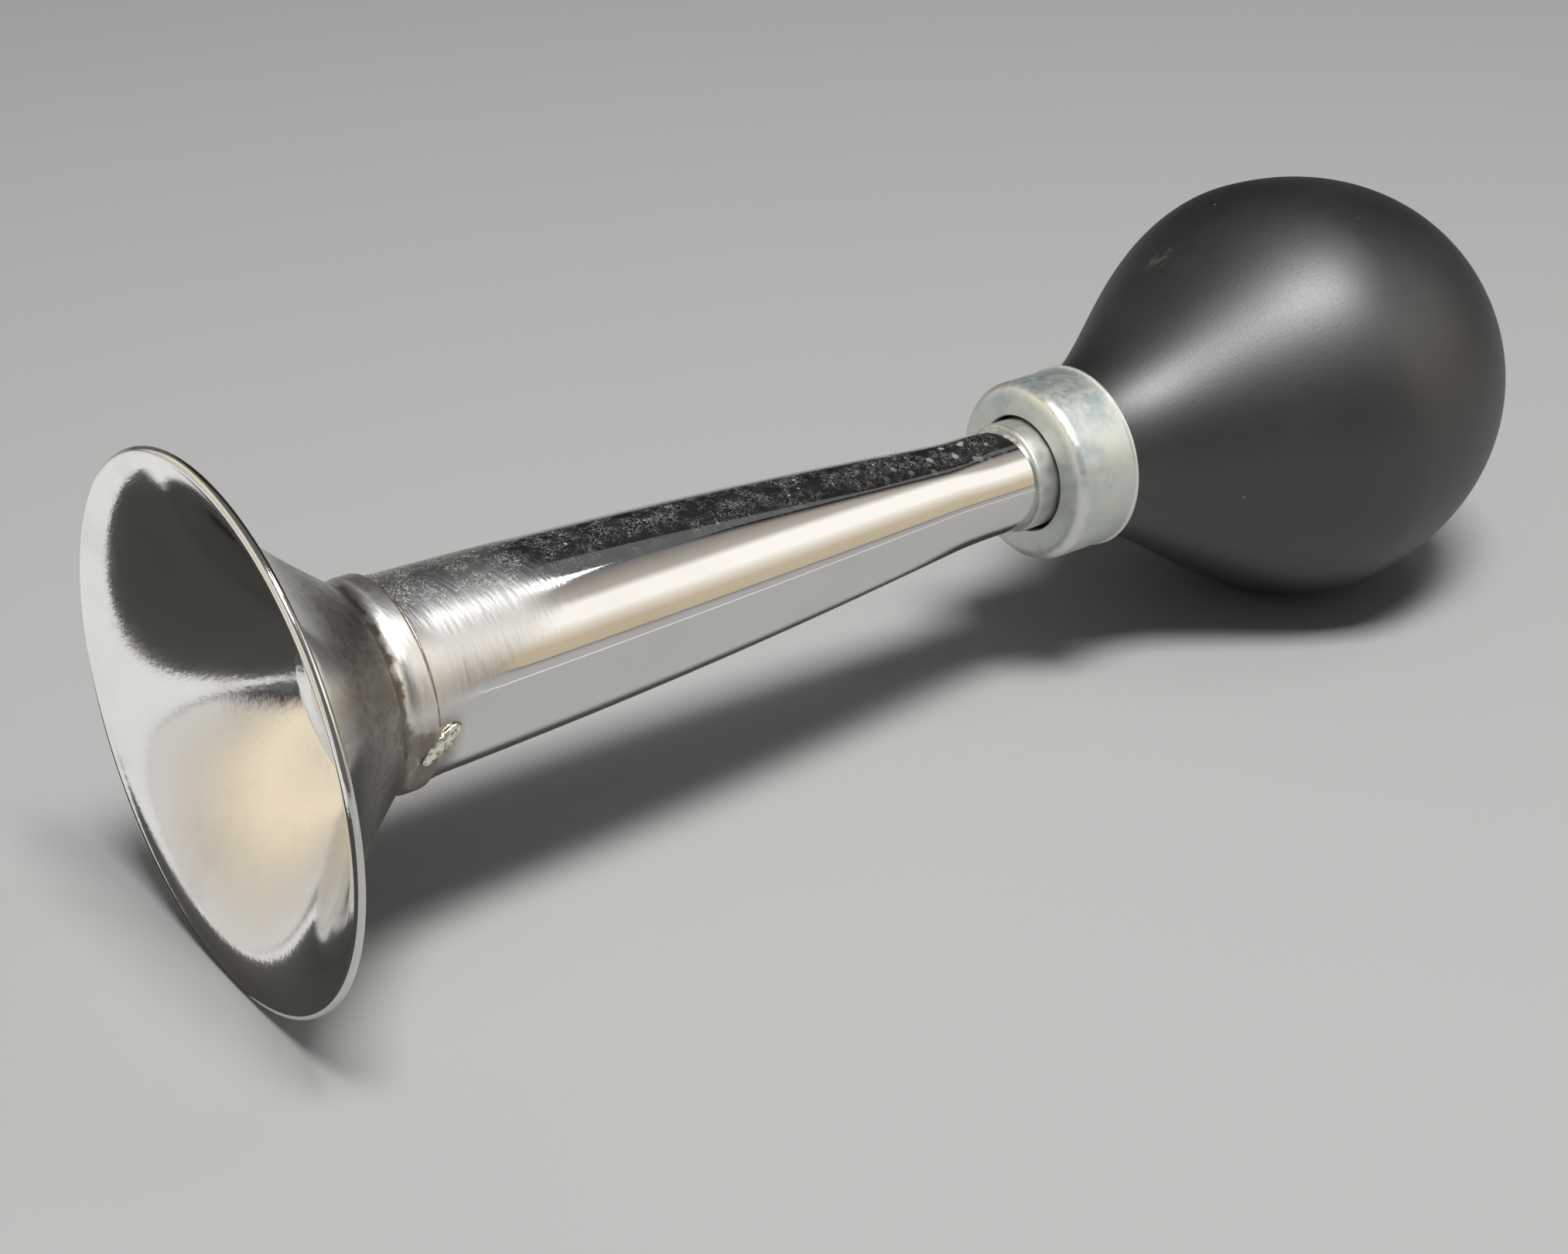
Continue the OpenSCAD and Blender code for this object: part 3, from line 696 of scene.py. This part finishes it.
# Pieces of the horn
lump_solder = solder_lump_finish()
neck_steel = satin_steel("neck_steel", pale=(0.66, 0.67, 0.64), dark=(0.50, 0.51, 0.49))
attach(piece("bell_skin", turned(bell_outline()), "bell_chrome", bell_chrome(), "bell"), "horn")
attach(piece("band_skin", turned(band_outline()), "band_chrome", band_chrome(), "joint_band"), "horn")
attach(piece("tube_skin", turned(tube_outline()), "tube_chrome", tube_chrome(), "cone_tube"), "horn")
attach(piece("solder_fillet", turned(fillet_outline()), "solder", fillet_finish()), "horn")
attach(piece("solder_seam", turned(seam_outline()), "solder", solder_seam_finish()), "horn")
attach(piece("solder_lump", solder_lump(), "solder", lump_solder), "horn")
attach(piece("socket_skin", turned(socket_outline()), "neck_steel", neck_steel, "neck_socket"), "horn")
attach(piece("socket_thread", thread(), "neck_steel", neck_steel), "horn")
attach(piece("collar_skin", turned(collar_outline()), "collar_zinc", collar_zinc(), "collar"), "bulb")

# The bulb's halves: the side that each lies on, where its half turn starts and the nodes that it replaces
rubber = bulb_rubber()
halves = {"left": (-1, 0, ("bulb_left_side", "bulb")), "right": (1, math.pi, ("bulb_right_side",))}
for hand, (side, start, replaced) in halves.items():
    half = piece(f"bulb_{hand}_half", half_turned(bulb_profile(), start), "bulb_rubber", rubber, *replaced)
    carry_shading_over_seam(half.data)
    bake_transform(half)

# Finishes of the pieces that stay as built
reed_brass = brass("reed_brass", (0.68, 0.50, 0.24), (0.40, 0.27, 0.12), least_rough=0.26)
kept_finishes = {
    "solder_ring": lump_solder,
    "reed_block": reed_brass,
    "reed_shallot": reed_brass,
    "reed_clamp": reed_brass,
    "reed_tongue": brass("tongue_brass", (0.74, 0.57, 0.29), (0.52, 0.37, 0.17), least_rough=0.2),
    "bulb_bush": brass("bush_brass", (0.62, 0.44, 0.20), (0.36, 0.24, 0.11), least_rough=0.32),
    "reed_screws": satin_steel("screw_steel", pale=(0.56, 0.56, 0.55), dark=(0.40, 0.40, 0.39)),
    "neck_washer": leather(),
}
for node_name, finish in kept_finishes.items():
    for material_slot in frame["nodes"][node_name].material_slots:
        material_slot.material = finish


# Floor, light and what the lamps and cloths face
AIM = Vector((0, 0, 0.04))
FLOOR_SIZE, FLOOR_COLOUR = 12, (0.46, 0.455, 0.445)
BLACK_CARD, WHITE_CARD = (0.06, 0.058, 0.055), (0.9, 0.895, 0.885)
WORLD_COLOUR, WORLD_STRENGTH = (0.98, 0.99, 1, 1), 0.15

# Colours up each cloth, from its foot at 0 to its head at 1, and where it starts to fade towards its sides
FADE_FROM = 0.7
TAN, CREAM, WHITE = (0.48, 0.40, 0.29), (0.74, 0.68, 0.60), (1, 0.97, 0.92)
WINDOW_COLOURS = (
    (0, TAN), (0.24, (0.53, 0.45, 0.33)), (0.37, CREAM), (0.47, WHITE), (0.66, WHITE),
    (0.74, (0.44, 0.41, 0.37)), (0.84, (0.34, 0.31, 0.28)), (1, (0.16, 0.155, 0.15)),
)
BOUNCE_COLOURS = (
    (0, (0.71, 0.69, 0.66)), (0.2, (0.71, 0.69, 0.66)), (0.36, (0.67, 0.62, 0.54)),
    (0.48, (0.78, 0.69, 0.55)), (0.61, (1, 0.86, 0.67)), (0.71, (0.88, 0.77, 0.61)),
    (0.82, (0.5, 0.46, 0.4)), (1, (0.2, 0.2, 0.2)),
)

# The photograph's viewpoint
PHOTO_WIDTH, FOCAL_PIXELS, SENSOR_WIDTH = 2027, 3500, 36
CAMERA_AT = (-245.64 * MM, -291.885 * MM, 228.928 * MM)
CAMERA_DOWN, CAMERA_HEADING = 29.165, 52.902


def towards(azimuth, elevation, distance):
    """A point seen from the horn in a direction given in degrees."""
    a, e = math.radians(azimuth), math.radians(elevation)
    return AIM + distance * Vector((math.cos(e) * math.cos(a), math.cos(e) * math.sin(a), math.sin(e)))


def facing_horn(place):
    """Puts a flat thing at a place, its face towards the horn."""
    return Matrix.Translation(place) @ (AIM - place).to_track_quat("Z", "Y").to_matrix().to_4x4()


def lying(x, y, z, turned_by):
    """Puts a flat thing just above the floor, turned by degrees."""
    return Matrix.Translation((x, y, z)) @ Matrix.Rotation(math.radians(turned_by), 4, "Z")


def softbox(name, azimuth, elevation, distance, width, height, radiance):
    """A rectangular lamp that faces the horn."""
    light = bpy.data.lights.new(name, "AREA")
    light.shape = "RECTANGLE"
    light.size, light.size_y = width, height
    light.energy = radiance * math.pi * width * height
    lamp = bpy.data.objects.new(name, light)
    bpy.context.scene.collection.objects.link(lamp)
    lamp.location = towards(azimuth, elevation, distance)
    lamp.rotation_euler = (AIM - lamp.location).to_track_quat("-Z", "Y").to_euler()
    lamp.visible_camera = False


def stage_plane(name, width, length, place, material):
    """A flat rectangle of the stage, its mesh already in place."""
    bm = bmesh.new()
    bmesh.ops.create_grid(bm, x_segments=1, y_segments=1, size=0.5)
    bmesh.ops.scale(bm, verts=bm.verts, vec=(width, length, 1))
    bmesh.ops.transform(bm, matrix=place, verts=bm.verts)
    obj = new_object(name, bm, material)
    return obj


def show_only_in_polish(obj):
    """Hides a thing of the stage from the camera and from dull surfaces, and stops its shadow."""
    obj.visible_camera = False
    obj.visible_diffuse = False
    obj.visible_shadow = False


def matt(name, colour, roughness, specular):
    """A plain dull material."""
    made = Shading(name)
    made.set(Base_Color=colour, Roughness=roughness, Specular_IOR_Level=specular)
    return made.material


def glow(name, half_width, half_height, strength, colours):
    """Lit cloth whose colour changes up its height, and which fades at its sides."""
    made = Shading(name)
    made.tree.nodes.remove(made.shader)
    where = made.node("ShaderNodeTexCoord").outputs["Object"]
    split = made.node("ShaderNodeSeparateXYZ", {"Vector": where})
    up = {"Value": split.outputs["Y"], "From Min": -half_height, "From Max": half_height}
    ramp = made.node("ShaderNodeValToRGB", {0: made.node("ShaderNodeMapRange", up).outputs[0]})
    stops = ramp.color_ramp.elements
    stops.remove(stops[1])
    for i, (at, colour) in enumerate(colours):
        stop = stops[0] if i == 0 else stops.new(at)
        stop.position = at
        stop.color = (*colour, 1)
    sideways = made.math("ABSOLUTE", split.outputs["X"])
    fade = made.rise(sideways, half_width, FADE_FROM * half_width, 0.0, strength)
    light = made.node("ShaderNodeEmission", {"Color": ramp.outputs[0], "Strength": fade})
    made.put(made.tree.nodes["Material Output"].inputs["Surface"], light.outputs[0])
    return made.material


def lit_cloth(name, azimuth, elevation, distance, width, height, strength, colours):
    """A soft glowing cloth that faces the horn."""
    material = glow(name, width / 2, height / 2, strength, colours)
    cloth = stage_plane(name, width, height, Matrix.Identity(4), material)
    cloth.matrix_world = facing_horn(towards(azimuth, elevation, distance))
    show_only_in_polish(cloth)


def card(name, colour, width, length, place):
    """A dull card that gives the polished metal something to mirror."""
    show_only_in_polish(stage_plane(name, width, length, place, matt(name, colour, 0.8, 0.1)))


stage_plane("floor", FLOOR_SIZE, FLOOR_SIZE, Matrix.Identity(4), matt("pale_floor", FLOOR_COLOUR, 0.7, 0))
card("card_behind", BLACK_CARD, width=1.5, length=1.25, place=facing_horn(towards(42, 28, 1.3)))
# This black card is painted shade: the bell's inside mirrors it as a dark band low down, where the floor
# would be in shade.
card("card_before_mouth", BLACK_CARD, width=0.28, length=0.082, place=lying(-0.195, -0.0355, 0.0006, 54))
card("card_beyond", WHITE_CARD, width=0.7, length=0.6, place=lying(-0.51, 0.11, 0.0003, 50))
card("card_beside", WHITE_CARD, width=0.4, length=0.014, place=lying(0.14, -0.17, 0.0003, 0))
softbox("key", azimuth=-110, elevation=72, distance=1.25, width=0.5, height=0.32, radiance=33)
softbox("glint", azimuth=-15, elevation=62, distance=1.25, width=0.2, height=0.2, radiance=5)
lit_cloth("window", azimuth=-44, elevation=28, distance=1.2, width=1.35, height=1.5, strength=1.35,
          colours=WINDOW_COLOURS)
lit_cloth("bounce", azimuth=158, elevation=24, distance=0.75, width=2.2, height=1.05, strength=1.15,
          colours=BOUNCE_COLOURS)

world = bpy.data.worlds.new("studio")
world.use_nodes = True
background = world.node_tree.nodes["Background"]
background.inputs["Color"].default_value = WORLD_COLOUR
background.inputs["Strength"].default_value = WORLD_STRENGTH
bpy.context.scene.world = world

camera_data = bpy.data.cameras.new("camera")
camera_data.sensor_width = SENSOR_WIDTH
camera_data.lens = FOCAL_PIXELS / PHOTO_WIDTH * SENSOR_WIDTH
camera_data.clip_start = 0.01
camera = bpy.data.objects.new("camera", camera_data)
camera.location = CAMERA_AT
camera.rotation_euler = (math.radians(90 - CAMERA_DOWN), 0, math.radians(CAMERA_HEADING - 90))
bpy.context.scene.collection.objects.link(camera)
bpy.context.scene.camera = camera
bpy.context.scene.view_settings.view_transform = "Standard"
